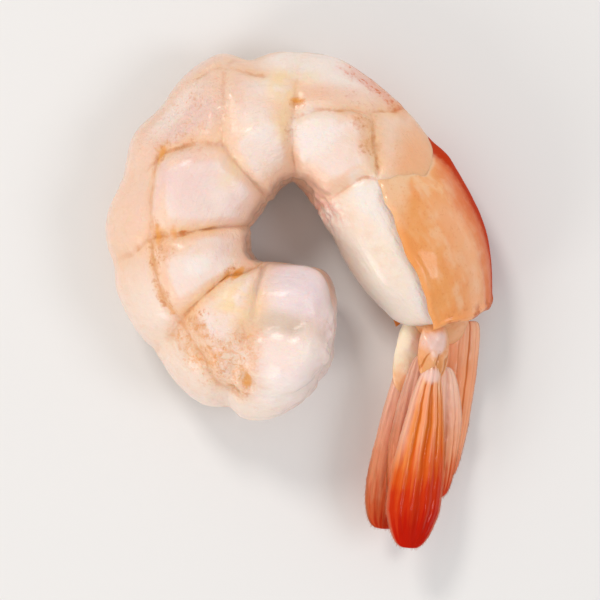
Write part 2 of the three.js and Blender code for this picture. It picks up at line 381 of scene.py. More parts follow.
# Where the segments of flesh meet: (degrees from the back, way along, how brown it is)
segmentLines = [
    [(0, 17.3, 0.1), (45, 17.2, 0.3), (80, 17.4, 0.8), (125, 17.4, 1.0), (137, 15.0, 0.9), (150, 12.8, 0.6),
     (180, 11.6, 0.2)],
    [(0, 25.1, 0.1), (50, 25.6, 0.3), (77, 27.1, 1.0), (94, 27.1, 1.0), (122, 28.1, 1.0), (140, 28.8, 0.5),
     (180, 30.2, 0.1)],
    [(0, 32.6, 0.0), (40, 32.8, 0.0), (54, 33.4, 0.1), (66, 35.6, 0.8), (76, 36.9, 0.6), (98, 40.4, 0.15),
     (114, 40.1, 0.1), (150, 40.0, 0.1), (180, 40.2, 0.1)],
    [(0, 51.5, 0.1), (50, 50.8, 0.1), (85, 50.7, 0.2), (107, 50.6, 0.0), (134, 51.2, 0.1), (160, 53.0, 0.1),
     (180, 54.3, 0.1)],
    [(0, 60.3, 1.0), (45, 59.9, 0.9), (67, 58.6, 0.6), (89, 61.0, 0.8), (95, 62.7, 0.8), (104, 65.0, 0.8),
     (113, 63.8, 0.7), (122, 63.7, 0.5), (180, 64.0, 0.2)],
]
# Swellings and dips of the back: way along, rise and width
backWaves = [
    (10.4, -1.1, 1.1), (12.4, 0.7, 4.0), (17.3, -0.6, 1.6), (25.1, -0.65, 1.4), (32.5, -1.4, 2.9),
    (38.8, -1.3, 2.8), (44.9, 0.6, 1.9), (47.0, -0.95, 1.4), (53.4, 0.8, 3.1),
]
# Other creases, each along a path of (way along, degrees from the back)
creases = {
    "alongFlank": {
        "path": [(9, 42), (11, 45), (13, 63), (16, 70), (19.5, 70),
                 (23.6, 73), (28.6, 75), (32.5, 69), (35, 60)],
        "depth": 0.24, "width": 0.5, "ink": 0.35,
    },
    "fork": {
        "path": [(46.8, 8), (44.2, 57), (42.9, 82), (40.5, 98)],
        "depth": 0.3, "width": 0.7, "ink": 0.25,
    },
    "lastBlock": {
        "path": [(51.3, 98), (53.1, 91), (55.8, 85), (58.2, 71)],
        "depth": 0.35, "width": 0.6, "ink": 0.45,
    },
    "backFold": {
        "path": [(42.6, 38), (44.2, 40), (45.2, 45), (47.7, 58)],
        "depth": 0.22, "width": 0.5, "ink": 0.4,
    },
    "neckFold": {
        "path": [(9.5, 92), (8.7, 99), (4.6, 103), (1.5, 118)],
        "depth": 1.0, "width": 1.5, "ink": 0.0,
    },
    "lobeEdge": {
        "path": [(11.2, 152), (10.2, 130), (9.2, 106)],
        "depth": 0.5, "width": 0.6, "ink": 0.0,
    },
    "neckFoldLow": {
        "path": [(9.0, 62), (5.0, 58), (0.5, 55)],
        "depth": 0.3, "width": 1.2, "ink": 0.1,
    },
}
# Patches of colour on the flesh, among them painted shade and painted highlights: (way along, degrees from
# the back, length, width, strength)
patches = {
    "white": [
        (39.5, 46, 4.6, 2.6, 0.6), (54, 108, 4.2, 3.8, 1.0), (46, 96, 3.0, 3.4, 0.6),
        (48, 72, 3.4, 3.0, 0.6), (22.3, 104, 2.2, 1.8, 0.8), (34.5, 114, 3.0, 2.4, 0.4),
        (3.0, 57, 4.0, 3.4, 0.8), (1.5, 82, 3.0, 3.2, 0.6), (5.5, 106, 3.4, 1.4, 0.5),
        # The white patches at 66.5, 73 and 81 along lie on the cream belly strip and are painted highlights
        (52.4, 40, 5.4, 4.2, 1.0), (57.0, 40, 2.6, 2.4, 0.5), (66.5, 117, 4.4, 2.2, 1.0),
        (81.0, 122, 4.4, 2.4, 1.0), (73, 122, 5.0, 1.4, 0.4),
    ],
    "peach": [
        (13, 112, 5.0, 3.2, 0.9), (27, 36, 6.0, 3.0, 0.9), (19, 32, 8.0, 2.2, 0.5),
        (44, 42, 6.0, 2.0, 0.35), (22, 134, 6.0, 1.6, 0.7), (62, 72, 3.5, 4.0, 0.8),
        (45, 136, 6.0, 1.8, 0.6), (25.2, 96, 1.4, 4.0, 0.6), (49.5, 112, 1.4, 3.0, 0.6),
        (60, 102, 2.4, 2.0, 0.6), (73, 136, 4.0, 1.6, 0.6), (67, 146, 3.0, 1.4, 0.6),
        (41.5, 104, 1.4, 3.0, 0.5),
    ],
    "orange": [
        (14.4, 62, 2.4, 1.4, 0.8), (35.4, 64, 1.7, 1.0, 1.0), (27.4, 80, 1.6, 1.0, 0.9),
        (25.2, 84, 1.4, 1.4, 0.6), (17.7, 126, 1.6, 1.3, 0.9), (15.4, 82, 2.2, 1.6, 0.8),
        (20.5, 71, 2.6, 0.9, 0.9), (24.5, 74, 2.2, 1.0, 0.9), (16.2, 131, 1.4, 1.6, 1.0),
        (13.2, 66, 2.4, 1.7, 0.7), (11.0, 52, 2.0, 1.6, 0.5), (9.0, 47, 1.5, 1.2, 0.6),
        (51.0, 86, 1.1, 0.9, 1.0), (50.5, 104, 1.3, 2.6, 0.35), (58.7, 82, 1.7, 1.6, 0.7),
        (61.4, 93, 1.5, 1.4, 0.7), (40.5, 58, 3.4, 2.0, 0.2), (38.0, 80, 1.4, 2.0, 0.4),
        (57.5, 66, 2.4, 1.6, 0.35), (63.5, 80, 2.0, 2.0, 0.3),
    ],
    "gold": [
        (15.8, 131, 1.3, 1.5, 1.0), (17.2, 123, 0.9, 0.9, 0.7), (27.2, 80, 1.6, 0.5, 0.7),
        (27.4, 92, 1.4, 0.4, 0.6), (35.4, 64, 1.2, 0.6, 0.7), (51.0, 84, 1.0, 0.6, 0.7),
        (8.1, 61, 0.8, 1.2, 0.8), (19.0, 70, 1.2, 0.5, 0.5),
    ],
    "mauve": [
        (4.6, 134, 4.4, 3.8, 1.0), (5.0, 116, 3.6, 1.6, 0.8), (3.0, 74, 3.4, 2.0, 0.4),
    ],
    # painted shade below the neck fold and along the lobe's edge
    "shaded": [
        (5.5, 103, 4.2, 1.1, 1.0), (10.4, 130, 0.7, 3.6, 0.7), (9.2, 104, 1.6, 0.8, 0.8),
    ],
    "yellow": [
        (49.3, 74, 1.5, 3.2, 1.0), (49.0, 100, 1.2, 2.6, 0.7), (50.8, 60, 2.4, 1.2, 0.5),
        (12.2, 110, 4.0, 2.4, 0.9), (38.5, 116, 3.0, 1.2, 0.4), (15.0, 130, 3.0, 1.4, 0.6),
    ],
    "rosy": [
        (33.3, 79, 4.2, 1.6, 1.0), (32.5, 96, 4.6, 3.0, 0.5), (4.5, 134, 4.0, 3.0, 1.0),
        (2.0, 112, 3.0, 1.6, 0.7), (34.5, 92, 5.0, 3.0, 0.8), (39.0, 66, 4.5, 3.0, 0.7),
        (56.0, 56, 5.0, 2.5, 0.35), (23.0, 132, 6.0, 2.0, 0.6), (33.0, 134, 7.0, 2.4, 0.6),
    ],
}
flesh = {
    "rows": 430,
    "columns": 224,
    "neckShare": 0.13,
    "tailShare": 0.05,
    "neckRound": 4.6,
    "slantBack": 4.3, "slantBelly": 1.4,
    "tailRound": 4.0,
    "bluntness": 3.2,
    "seamDepth": 0.34, "seamWidth": 0.34,
    "valleyDepth": 0.3, "valleyWidth": 1.3,
    "blockRise": 0.75,
    "bandEdge": [(0, 50), (8, 48), (11, 47), (13, 62), (16, 70), (24, 73), (29, 75), (33, 68), (36, 70),
                 (41, 90), (50, 92), (53, 91), (56, 84), (58, 73), (64, 70)],
    "cutDepth": 1.05, "cutWidth": 0.5, "cutFrom": 3, "cutTo": 58,
    "bellyDepth": 0.5, "bellyWidth": 1.7, "ribRise": 0.1, "ribSpacing": 3.9,
    "lobeEdges": [0, 52, 101, 180], "lobeRise": 0.6, "lobeSwell": 0.5, "lobeFade": 9,
    "pits": [(8.0, 58, 0.8), (9.6, 47, 0.5)],  # way along, degrees from the back, size
}


def faceLobes(side):
    # 0 where two lobes of the cut face part, and 1 at the top of each
    edges = np.array(flesh["lobeEdges"], float)
    k = np.clip(np.searchsorted(edges, side, side="right") - 1, 0, len(edges) - 2)
    return np.sin(np.pi * (side - edges[k]) / (edges[k + 1] - edges[k]))


def patchMask(at, side, spots):
    mask = np.zeros(np.shape(at))
    for spotAt, spotSide, length, width, strength in spots:
        away = np.hypot((at - spotAt) / length, (side - spotSide) * skinPerDegree / width)
        mask = np.maximum(mask, strength * np.exp(-(away**3)))
    return mask


def fleshRelief(at, side, signed, plain):
    # How far the flesh stands out from its plain section, and how near and how brown the nearest seam is
    wander = 0.35 * cloud(plain, 3.0, 11) + 0.15 * cloud(plain, 1.1, 12)
    bandEdge = np.interp(at, *zip(*flesh["bandEdge"]))
    onFlank = ease(side - bandEdge, -3, 12) * (1 - ease(side, 146, 166))
    onBack = 1 - ease(side, 30, 95)
    bare = 1 - ease(at, shellJoint - 0.5, shellJoint + 2.5)
    fade = (0.1 + 0.9 * ease(side, 10, 60)) * (1 - 0.75 * ease(side, 132, 165))
    rise = np.zeros(np.shape(at))
    seamNear = np.full(np.shape(at), 50.0)
    seamInk = np.zeros(np.shape(at))
    before = np.full(np.shape(at), -flesh["neckRound"])
    for segmentLine in segmentLines:
        degrees, places, inks = zip(*segmentLine)
        line = np.interp(side, degrees, places)
        near = pathDistance(at, side, list(zip(places, degrees))) + wander * 0.4
        ink = np.interp(side, degrees, inks)
        crease = flesh["seamDepth"] * bell(near, flesh["seamWidth"]) * (0.1 + 0.9 * ink)
        valley = flesh["valleyDepth"] * bell(near, flesh["valleyWidth"]) * (1.2 - 0.3 * ink)
        rise -= fade * (crease + valley)
        seamInk = np.where(near < seamNear, ink, seamInk)
        seamNear = np.minimum(near, seamNear)
        run = np.clip((at - before) / (line - before), 0, 1)
        rise += flesh["blockRise"] * onFlank * (1 - np.abs(2 * run - 1) ** 3.4)
        before = line
    for waveAt, waveRise, width in backWaves:
        rise += waveRise * onBack * bell(at - waveAt, width)
    for crease in creases.values():
        near = pathDistance(at, side, crease["path"]) + wander * 0.3
        rise -= crease["depth"] * bell(near, crease["width"])
        seamInk = np.where(near < seamNear, crease["ink"], seamInk)
        seamNear = np.minimum(near, seamNear)
    for pitAt, pitSide, size in flesh["pits"]:
        near = pathDistance(at, side, [(pitAt - 0.3, pitSide), (pitAt + 0.3, pitSide + 3)]) + wander * 0.5
        rise += 0.12 * bell(near - size * 1.3, 0.35) - 0.5 * bell(near, size)
    cutMiddle = 2.5 * np.sin(at / 7) + 1.2 * np.sin(at / 2.9)
    cutNear = np.abs(signed - cutMiddle) * 0.166
    slit = ease(at, 0, flesh["cutFrom"]) * (1 - ease(at, flesh["cutTo"] - 8, flesh["cutTo"]))
    cut = flesh["cutDepth"] * bell(cutNear, flesh["cutWidth"]) + 0.35 * bell(cutNear, 1.6)
    rise -= slit * (cut - 0.2 * bell(cutNear - 1.4, 0.5))
    bellyNear = (180 - side) * skinPerDegree
    ribs = np.cos(at * 2 * np.pi / flesh["ribSpacing"] + 1.5 * cloud(plain, 6.0, 16)) * bell(bellyNear, 3.0)
    rise += flesh["ribRise"] * ribs * ease(at, 6, 14)
    rise -= flesh["bellyDepth"] * bell(bellyNear, flesh["bellyWidth"])
    rise += flesh["lobeSwell"] * faceLobes(side) * (1 - ease(at, 0, flesh["lobeFade"]))
    netted = ease(at, 5.5, 9.5) * (1 - ease(at, 15.0, 19)) * ease(side, 42, 56) * (1 - ease(side, 84, 102))
    rise += netted * (0.12 * cloud(plain, 1.3, 13) + 0.04 * cloud(plain, 0.5, 17) - 0.1)
    rise += 0.16 * cloud(plain, 5.0, 14) + 0.09 * cloud(plain, 1.9, 15) + 0.03 * cloud(plain, 0.8, 18)
    rise += 0.1 * cloud(plain, 0.9, 19) * bell(seamNear, 1.3)
    ragged = ease(side, 140, 158) * bell(at - 64.0, 3.4)  # what is left of the last legs
    core = ease(seamNear + wander, 0.6, 3.0) * ease((side - bandEdge) * skinPerDegree, 0.3, 2.6)
    core = core * (1 - ease(side, 122, 150)) * ease(at, 6, 9)
    core = np.maximum(core, ease(at, 9.5, 5) * (1 - 0.5 * ease(side, 122, 160)))
    fields = {
        "seamNear": np.maximum(seamNear, 0), "seamInk": seamInk * bare,
        "netted": netted, "core": core * bare, "ragged": ragged,
        "cutNear": cutNear + 20 * (1 - slit), "band": 1 - ease(side - bandEdge, -9, 2),
    }
    torn = 0.35 + 0.55 * cloud(plain, 1.5, 41) + 0.3 * cloud(plain, 0.7, 42)
    return rise * bare + ragged * torn, fields


def makeFlesh():
    rows, columns = flesh["rows"], flesh["columns"]
    along = np.linspace(0, 1, rows)[:, None]
    around = np.arange(columns)[None, :] * 2 * np.pi / columns
    side = np.degrees(np.arccos(np.cos(around))) + 0 * along
    signed = np.degrees(np.arctan2(np.sin(around), np.cos(around))) + 0 * along
    across = np.cos(around)
    slant = np.where(across > 0, flesh["slantBack"], flesh["slantBelly"]) * np.abs(across) ** 1.5
    end = lastJoint - 0.5
    power = 2 / flesh["bluntness"]
    neckTurn = np.clip(along / flesh["neckShare"], 0, 1) * np.pi / 2
    tailTurn = np.clip((1 - along) / flesh["tailShare"], 0, 1) * np.pi / 2
    share = np.sin(neckTurn) ** power * np.sin(tailTurn) ** power + 0 * around
    lobes = faceLobes(side)
    neckAt = flesh["neckRound"] * (1 - np.cos(neckTurn) ** power)
    neckAt = neckAt + share * (slant - flesh["lobeRise"] * lobes * (1 - share**4))
    run = (along - flesh["neckShare"]) / (1 - flesh["neckShare"] - flesh["tailShare"])
    first = flesh["neckRound"] + slant
    bodyAt = first + (end - flesh["tailRound"] - first) * run
    tailAt = end - flesh["tailRound"] * (1 - np.cos(tailTurn) ** power) + 0 * around
    at = np.where(along > 1 - flesh["tailShare"], tailAt, bodyAt)
    at = np.where(along < flesh["neckShare"], neckAt, at)
    face = (1 - ease(share, 0.55, 0.95)) * (along < 0.5)
    plain = sectionPoint(at, around, share)
    at = at + face * (0.35 * cloud(plain, 2.2, 21) + 0.18 * cloud(plain, 0.9, 22))
    rise, fields = fleshRelief(at, side, signed, plain)
    points = sectionPoint(at, around, share, rise)
    points[..., 2] = np.maximum(points[..., 2], 0)
    fields.update({"along": at, "side": side, "face": face, "rise": rise})
    for label, spots in patches.items():
        fields[label] = patchMask(at, side, spots)
    return addBall("shrimpFlesh", points, fields)


def dressFlesh(piece):
    constants = {
        "Subsurface Weight": 0.55,
        "Subsurface Radius": (1.0, 0.5, 0.32),
        "Subsurface Scale": 1.3 * mm,
        "IOR": 1.42,
        "Coat Roughness": 0.19,
        "Coat IOR": 1.36,
    }
    material, board, shader = newMaterial("cookedFlesh", constants)
    place = board.place()
    along, side, seamNear, seamInk = board.attributes("along", "side", "seamNear", "seamInk")
    netted, cutNear, face, rise, band = board.attributes("netted", "cutNear", "face", "rise", "band")
    core, ragged, white, peach, yellow = board.attributes("core", "ragged", "white", "peach", "yellow")
    gold, orange, rosy, mauve, shaded = board.attributes("gold", "orange", "rosy", "mauve", "shaded")

    def within(value, start, end, soft):
        return board.ease(value, start - soft, start + soft) * board.ease(value, end + soft, end - soft)

    wide = board.noise(place, 9.0, 2.0)
    middle = board.noise(place, 3.0, 3.0)
    fine = board.noise(place, 1.0, 3.0, 0.6)
    grain = board.noise(place, 0.35, 2.0, 0.6)
    mottle = fine * 0.6 + grain * 0.4

    # Peach, with pearly middles of the blocks, painted warm shade in the hollows between them and painted
    # shade on the inner side of the curl
    paint = Paint(board, 247, 213, 190)
    paint.lay(board.ease(wide * 0.6 + middle * 0.4, 0.38, 0.62), 243, 201, 174)
    paint.lay(board.ease(core + (middle - 0.5) * 0.5, 0.15, 0.8) * 0.9, 247, 226, 217)
    # painted shade: a warm, darker tint laid where the relief dips, standing in for light glowing through
    # the flesh in the hollows
    hollowShade = board.ease(rise + (middle - 0.5) * 0.3, 0.05, -0.5)
    paint.lay(hollowShade * 0.6, 244, 196, 156)
    # painted warm shade on the inner side of the curl, with painted bounce light from the orange
    # surroundings
    innerShade = board.ease(side + (middle - 0.5) * 12, 136.0, 165.0)
    paint.lay(innerShade * 0.7, 228, 180, 150)

    # A smooth pink band along the back, with a painted lighter rim where light shines through its edge
    backBand = band * within(along, 9.0, 47.0, 5.0)
    paint.lay(backBand * (0.55 + middle * 0.5), 241, 206, 187)
    paint.lay(band * board.ease(along, 27.0, 20.0) * (0.4 + middle * 0.7), 243, 226, 214)
    # painted light: the band lightens towards the silhouette, standing in for light passing through its thin
    # edge
    paint.lay(backBand * board.ease(side + (middle - 0.5) * 10, 30.0, 16.0) * 0.5, 246, 218, 204)

    # Cream strip along the belly of the last segment, and the orange flesh under its shell
    strip = board.ease(along, 62.5, 65.5) * board.ease(side, 96.0, 106.0)
    paint.lay(strip * 0.9, 255, 236, 223)
    paint.lay(ragged * board.ease(fine, 0.4, 0.6), 240, 186, 172)
    covered = board.ease(along + (middle - 0.5) * 4.0, 62.0, 70.0) * board.ease(side, 112.0, 92.0)
    paint.lay(covered * 0.8, 247, 200, 164)

    # Patches of pink, of opaque white muscle with painted highlights on the belly strip, of painted shade
    # and of orange
    paint.lay(rosy * board.ease(middle, 0.25, 0.6) * 0.75, 236, 206, 201)
    # white muscle, and painted highlights where the white patches lie on the belly strip
    paint.lay(board.ease(white + (fine - 0.5) * 0.25, 0.2, 0.8) * 0.85, 250, 235, 228)
    paint.lay(mauve * (0.5 + middle * 0.4), 238, 224, 229)
    # painted shade below the neck fold and beside the lobe
    paint.lay(shaded * (0.5 + middle * 0.5), 214, 190, 170)
    peachy = peach * board.ease(middle * 0.5 + fine * 0.5, 0.3, 0.6)
    paint.lay(peachy * 0.7, 238, 202, 172)
    paint.lay(yellow * board.ease(middle, 0.3, 0.55) * 0.85, 252, 220, 170)
    stain = board.ease(mottle * 0.6 + middle * 0.4 + (orange - 0.5) * 0.25, 0.42, 0.58)
    paint.lay(orange * stain * 0.8, 226, 160, 102)
    paint.lay(orange * board.ease(mottle + orange * 0.06, 0.55, 0.66) * 0.75, 204, 118, 62)

    # Orange skin left behind the neck, in soft streaks with darker spots
    patch = board.ease(middle * 0.6 + wide * 0.4 + (grain - 0.5) * 0.2, 0.36, 0.6)
    paint.lay(netted * patch * 0.5, 242, 204, 170)
    spots = board.ease(mottle + (patch - 0.5) * 0.08, 0.5, 0.68)
    paint.lay(netted * spots * 0.65, 232, 160, 98)
    paint.lay(netted * board.ease(rise, -0.3, -0.85) * 0.8, 208, 124, 62)
    strokes = board.math("ABSOLUTE", board.noise(place, 1.6, 1.0) - 0.5 + (grain - 0.5) * 0.15)
    strokes = board.ease(strokes, 0.07, 0.0)
    paint.lay(netted * strokes * patch * 0.45, 232, 160, 96)

    # Brown and orange seams, broken up by noise
    broken = board.ease(board.noise(place, 2.2, 3.0), 0.34, 0.62)
    seam = seamNear + (fine - 0.5) * 0.6 + (grain - 0.5) * 0.25
    paint.lay(board.ease(seam, 1.5, 0.1) * seamInk * (0.3 + broken * 0.4), 248, 198, 142)
    paint.lay(board.ease(seam, 0.34, 0.04) * seamInk * (0.1 + broken * 0.85), 214, 128, 60)
    paint.lay(board.ease(gold + (fine - 0.5) * 0.5, 0.3, 0.8) * 0.75, 238, 162, 68)

    # Red traces of the skin along the back, next to the shell and in the slit
    speckle = board.ease(mottle, 0.5, 0.62)
    underShell = board.ease(along - board.ease(side, 50.0, 95.0) * 2.5 + (middle - 0.5) * 2.0, 60.0, 63.4)
    paint.lay(underShell * board.ease(side, 100.0, 84.0) * 0.75, 246, 178, 126)
    rim = within(along + (fine - 0.5) * 2.0, 54.5, 60.5, 1.0) * board.ease(side, 54.0, 36.0)
    paint.lay(rim * (0.4 + speckle * 0.6), 222, 112, 52)
    wedge = within(along, 34.5, 44.0, 2.0) * board.ease(side, 92.0, 74.0)
    freckles = board.ease(mottle, 0.54, 0.66) * (board.ease(side, 70.0, 30.0) * 0.4 + wedge)
    paint.lay(freckles * 0.42, 236, 170, 128)
    paint.lay(board.ease(cutNear + (grain - 0.5) * 0.5, 0.95, 0.1) * 0.7, 208, 150, 118)
    paint.lay(board.ease(cutNear, 0.3, 0.05) * broken * 0.6, 120, 72, 52)

    # The cut face is pearly
    paint.lay(face * 0.6, 243, 224, 219)
    board.feed(shader.inputs["Base Color"], paint.colour)
    board.feed(shader.inputs["Roughness"], 0.32 + fine * 0.25 + netted * 0.08)
    board.feed(shader.inputs["Coat Weight"], 0.35 + board.ease(middle, 0.35, 0.65) * 0.35 + strip * 0.3)

    # Fibres run along the body, and the skin left on it is grainy
    fibrePlace = board.combined(along * 0.22, side * 0.42)
    fibres = board.rawNoise(fibrePlace, 1.0, 3.0, 0.6)
    height = fibres * 0.8 + fine * (1.2 + wedge * 1.5) + grain * (0.5 + wedge + netted)
    board.feed(shader.inputs["Normal"], bump(board, height, 0.6, 0.3))
    piece.data.materials.append(material)


def grainTree():
    # Lifts the skin in small grains along its normals
    tree = bpy.data.node_groups.new("fleshGrain", "GeometryNodeTree")
    tree.interface.new_socket("Geometry", in_out="INPUT", socket_type="NodeSocketGeometry")
    for label, value in {"Height": 0.03, "Size": 0.6, "Seed": 4.0}.items():
        tree.interface.new_socket(label, in_out="INPUT", socket_type="NodeSocketFloat").default_value = value
    tree.interface.new_socket("Geometry", in_out="OUTPUT", socket_type="NodeSocketGeometry")
    board = Board(tree)
    given = tree.nodes.new("NodeGroupInput")
    height, size, seed = (Wire(board, given.outputs[label]) for label in ("Height", "Size", "Seed"))
    place = board.add("GeometryNodeInputPosition")
    inputs = {"Vector": place, "W": seed, "Scale": 1000.0 / size, "Detail": 2.0}
    noise = board.add("ShaderNodeTexNoise", {"noise_dimensions": "4D"}, inputs)
    normal = board.add("GeometryNodeInputNormal")
    offset = board.scaled(normal, (noise - 0.5) * height * 2)
    moved = board.moved(Wire(board, given.outputs["Geometry"]), offset, offset=True)
    result = tree.nodes.new("NodeGroupOutput")
    board.feed(result.inputs["Geometry"], moved)
    return tree


def applyTree(piece, tree, values=None):
    # Runs a Geometry Nodes tree on a piece and keeps the result as its plain mesh
    modifier = piece.modifiers.new(tree.name, "NODES")
    modifier.node_group = tree
    for item in tree.interface.items_tree:
        if item.in_out == "INPUT" and item.name in (values or {}):
            modifier[item.identifier] = values[item.name]
    graph = bpy.context.evaluated_depsgraph_get()
    mesh = bpy.data.meshes.new_from_object(piece.evaluated_get(graph))
    piece.modifiers.remove(modifier)
    before = piece.data
    piece.data = mesh
    mesh.name = piece.name
    bpy.data.meshes.remove(before)


# The shell over the last segment. Edges are measured from its joints, reaches in degrees from the back
shell = {
    "rows": 150,
    "columns": 190,
    "gap": 0.45,
    "wall": 0.6,
    "thick": 0.28,
    "reachFront": 104,
    "reachRear": 124,
    "front": {"back": -0.6, "flank": 3.2, "edge": 1.6},
    "rear": {"back": -1.2, "edge": -0.8},
    "keelRise": 0.4,
    "keelWidth": 5,
}


def makeShell():
    along = np.linspace(0, 1, shell["rows"])[:, None]
    across = np.linspace(-1, 1, shell["columns"])[None, :]
    edge = np.abs(across)
    onFlank = ease(edge, 0.1, 0.6)
    atEdge = ease(edge, 0.6, 1)
    frontPlace, rearPlace = shell["front"], shell["rear"]
    front = shellJoint + frontPlace["back"] + (frontPlace["flank"] - frontPlace["back"]) * onFlank
    front = front + (frontPlace["edge"] - frontPlace["flank"]) * atEdge
    rear = lastJoint + rearPlace["back"] + (rearPlace["edge"] - rearPlace["back"]) * onFlank
    front = front + 0.14 * np.sin(across * 23) + 0.1 * np.sin(across * 41 + 1)
    rear = rear + 0.2 * np.cos(across * 19) * onFlank
    at = front + (rear - front) * along
    reach = shell["reachFront"] + (shell["reachRear"] - shell["reachFront"]) * along
    side = across * (reach + 0.9 * np.sin(along * 17) + 0.5 * np.sin(along * 37 + 2))
    plain = sectionPoint(at, np.radians(side))
    toFront = along * (lastJoint - shellJoint) + 0 * edge
    toRear = (1 - along) * (lastJoint - shellJoint) + 0 * edge
    freeEdge = (1 - edge) * 15 + 0 * along
    toEdge = np.minimum(np.minimum(toFront, toRear), freeEdge)
    lift = shell["gap"] + shell["wall"]
    keel = shell["keelRise"] * bell(side, shell["keelWidth"]) * ease(along, 0.05, 0.5)
    fold = 0.12 * bell(np.abs(side) - 62 + 8 * along, 4) * ease(along, 0.1, 0.4)
    dents = 0.1 * cloud(plain, 3.5, 31) + 0.04 * cloud(plain, 1.2, 32)
    rolled = 0.14 * bell(np.minimum(toRear, freeEdge) - 0.55, 0.4)
    sunk = 0.95 * (1 - ease(toFront, 0, 3.5)) + 0.12 * bell(toEdge, 0.3)
    outer = lift + keel - fold + dents + rolled - sunk
    inner = outer - shell["thick"] * (0.35 + 0.65 * ease(toEdge, 0, 0.6))
    fields = {"side": np.abs(side), "toFront": toFront, "toRear": toRear, "freeEdge": freeEdge}
    around = np.radians(side)
    sheets = [sectionPoint(at, around, 1, lifted) for lifted in (outer, inner)]
    return addWall("tailShell", *sheets, fields)


def dressShell(piece):
    constants = {
        "Subsurface Weight": 0.25,
        "Subsurface Radius": (1.0, 0.4, 0.2),
        "Subsurface Scale": 0.8 * mm,
        "IOR": 1.5,
        "Specular IOR Level": 0.06,
        "Coat Roughness": 0.09,
    }
    material, board, shader = newMaterial("cookedShell", constants)
    place = board.place()
    side, toFront, toRear, freeEdge = board.attributes("side", "toFront", "toRear", "freeEdge")
    wide = board.noise(place, 6.0, 2.0)
    middle = board.noise(place, 2.2, 3.0)
    fine = board.noise(place, 0.7, 3.0, 0.6)
    streakPlace = board.combined(toFront * 0.16, side * 0.1)
    streaks = board.rawNoise(streakPlace, 1.0, 3.0, 0.55)

    # Clear orange with paler streaks, a painted highlight along the middle of the flank, and a pale front
    paint = Paint(board, 249, 176, 120)
    paint.lay(board.ease(wide, 0.35, 0.65), 244, 158, 98)
    paint.lay(board.ease(streaks * 0.6 + middle * 0.4, 0.46, 0.62) * 0.5, 252, 208, 170)
    # painted highlight: a broad paler band along the middle of the flank, where a soft light would shine
    lit = board.bell(side - 70.0 + (middle - 0.5) * 20.0, 16.0) * board.ease(toFront, 3.0, 8.0)
    paint.lay(lit * 0.6, 252, 188, 148)
    ochre = board.ease(freeEdge + (middle - 0.5) * 2.4, 4.4, 1.4) * board.ease(toFront, 2.0, 5.0)
    paint.lay(ochre * 0.6, 238, 156, 82)
    paleWidth = 0.4 + board.ease(side, 78.0, 106.0) * 4.8
    pale = board.ease(toFront / paleWidth + (middle - 0.5) * 0.9 + (fine - 0.5) * 0.3, 1.7, 0.5)
    paint.lay(pale * 0.7, 248, 206, 170)

    # Pigment is dense along the back
    back = board.ease(side + (middle - 0.5) * 12, 70.0, 43.0) * board.ease(toFront, -1.0, 3.0)
    paint.lay(back * 0.85, 220, 98, 38)
    keel = board.ease(side + (fine - 0.5) * 8, 47.0, 33.0)
    paint.lay(keel * 0.95, 190, 46, 4)
    freckled = board.ease(fine * 0.6 + board.noise(place, 0.35, 2.0) * 0.4, 0.56, 0.66)
    paint.lay(freckled * 0.2, 222, 124, 70)
    rearSpots = board.ease(toRear, 2.6, 0.4) * board.ease(middle, 0.44, 0.56)
    paint.lay(rearSpots * board.ease(side, 116.0, 100.0) * 0.8, 188, 92, 36)
    board.feed(shader.inputs["Base Color"], paint.colour)
    board.feed(shader.inputs["Roughness"], 0.26 + fine * 0.22 + keel * 0.45)
    board.feed(shader.inputs["Coat Weight"], (0.3 + middle * 0.35) * (1.0 - keel * 0.95))
    height = streaks * 0.6 + fine + board.noise(place, 0.3, 2.0) * 0.5
    board.feed(shader.inputs["Normal"], bump(board, height, 0.3, 0.18))
    piece.data.materials.append(material)


# The tail fan. Places are (along the tail, towards the back, towards the upper flank) from the last joint
fan = {"heading": -99, "slope": -0.06}
fanFrame = frameAt([lastJoint], fan["heading"], fan["slope"])
fanOrigin, fanTailward, fanBack, fanFlank = (direction[0] for direction in fanFrame)
bladeShapes = {
    "telson": {
        "root": (-0.9, 3.3, 0.3), "tip": (19.4, 4.8, -0.2), "tilt": 0,
        "width": 6.2, "thick": 1.2, "arch": 0.7, "widest": 0.0, "taper": 0.4,
        "rootBlunt": 0.3, "redness": 0.0, "ribbing": 0.55, "knuckle": 0.0,
    },
    "uropod_inner_left": {
        "root": (5.2, 0.0, 1.9), "tip": (22.0, 2.6, 1.5), "tilt": -6,
        "width": 6.0, "thick": 0.7, "arch": 0.4, "widest": 0.4, "taper": 0.4,
        "rootBlunt": 0.6, "redness": 0.3, "ribbing": 0.8, "knuckle": 0.0,
    },
    "uropod_outer_left": {
        "root": (4.6, -2.6, 3.1), "tip": (28.6, -2.0, 3.6), "tilt": -12,
        "width": 8.4, "thick": 0.8, "arch": 0.6, "widest": 0.8, "taper": 0.7,
        "rootBlunt": 0.6, "redness": 1.0, "ribbing": 1.15, "knuckle": 1.0,
    },
    "uropod_inner_right": {
        "root": (4.2, -2.6, 0.4), "tip": (23.6, -2.9, 0.3), "tilt": 2,
        "width": 5.4, "thick": 0.6, "arch": 0.3, "widest": 0.6, "taper": 0.4,
        "rootBlunt": 0.5, "redness": 0.4, "ribbing": 0.5, "knuckle": 0.0,
    },
    "uropod_outer_right": {
        "root": (3.6, -2.5, -1.2), "tip": (27.2, -3.0, -1.7), "tilt": 4,
        "width": 8.6, "thick": 0.7, "arch": 0.4, "widest": 0.85, "taper": 0.4,
        "rootBlunt": 0.35, "redness": 0.45, "ribbing": 0.5, "knuckle": 0.0,
    },
}
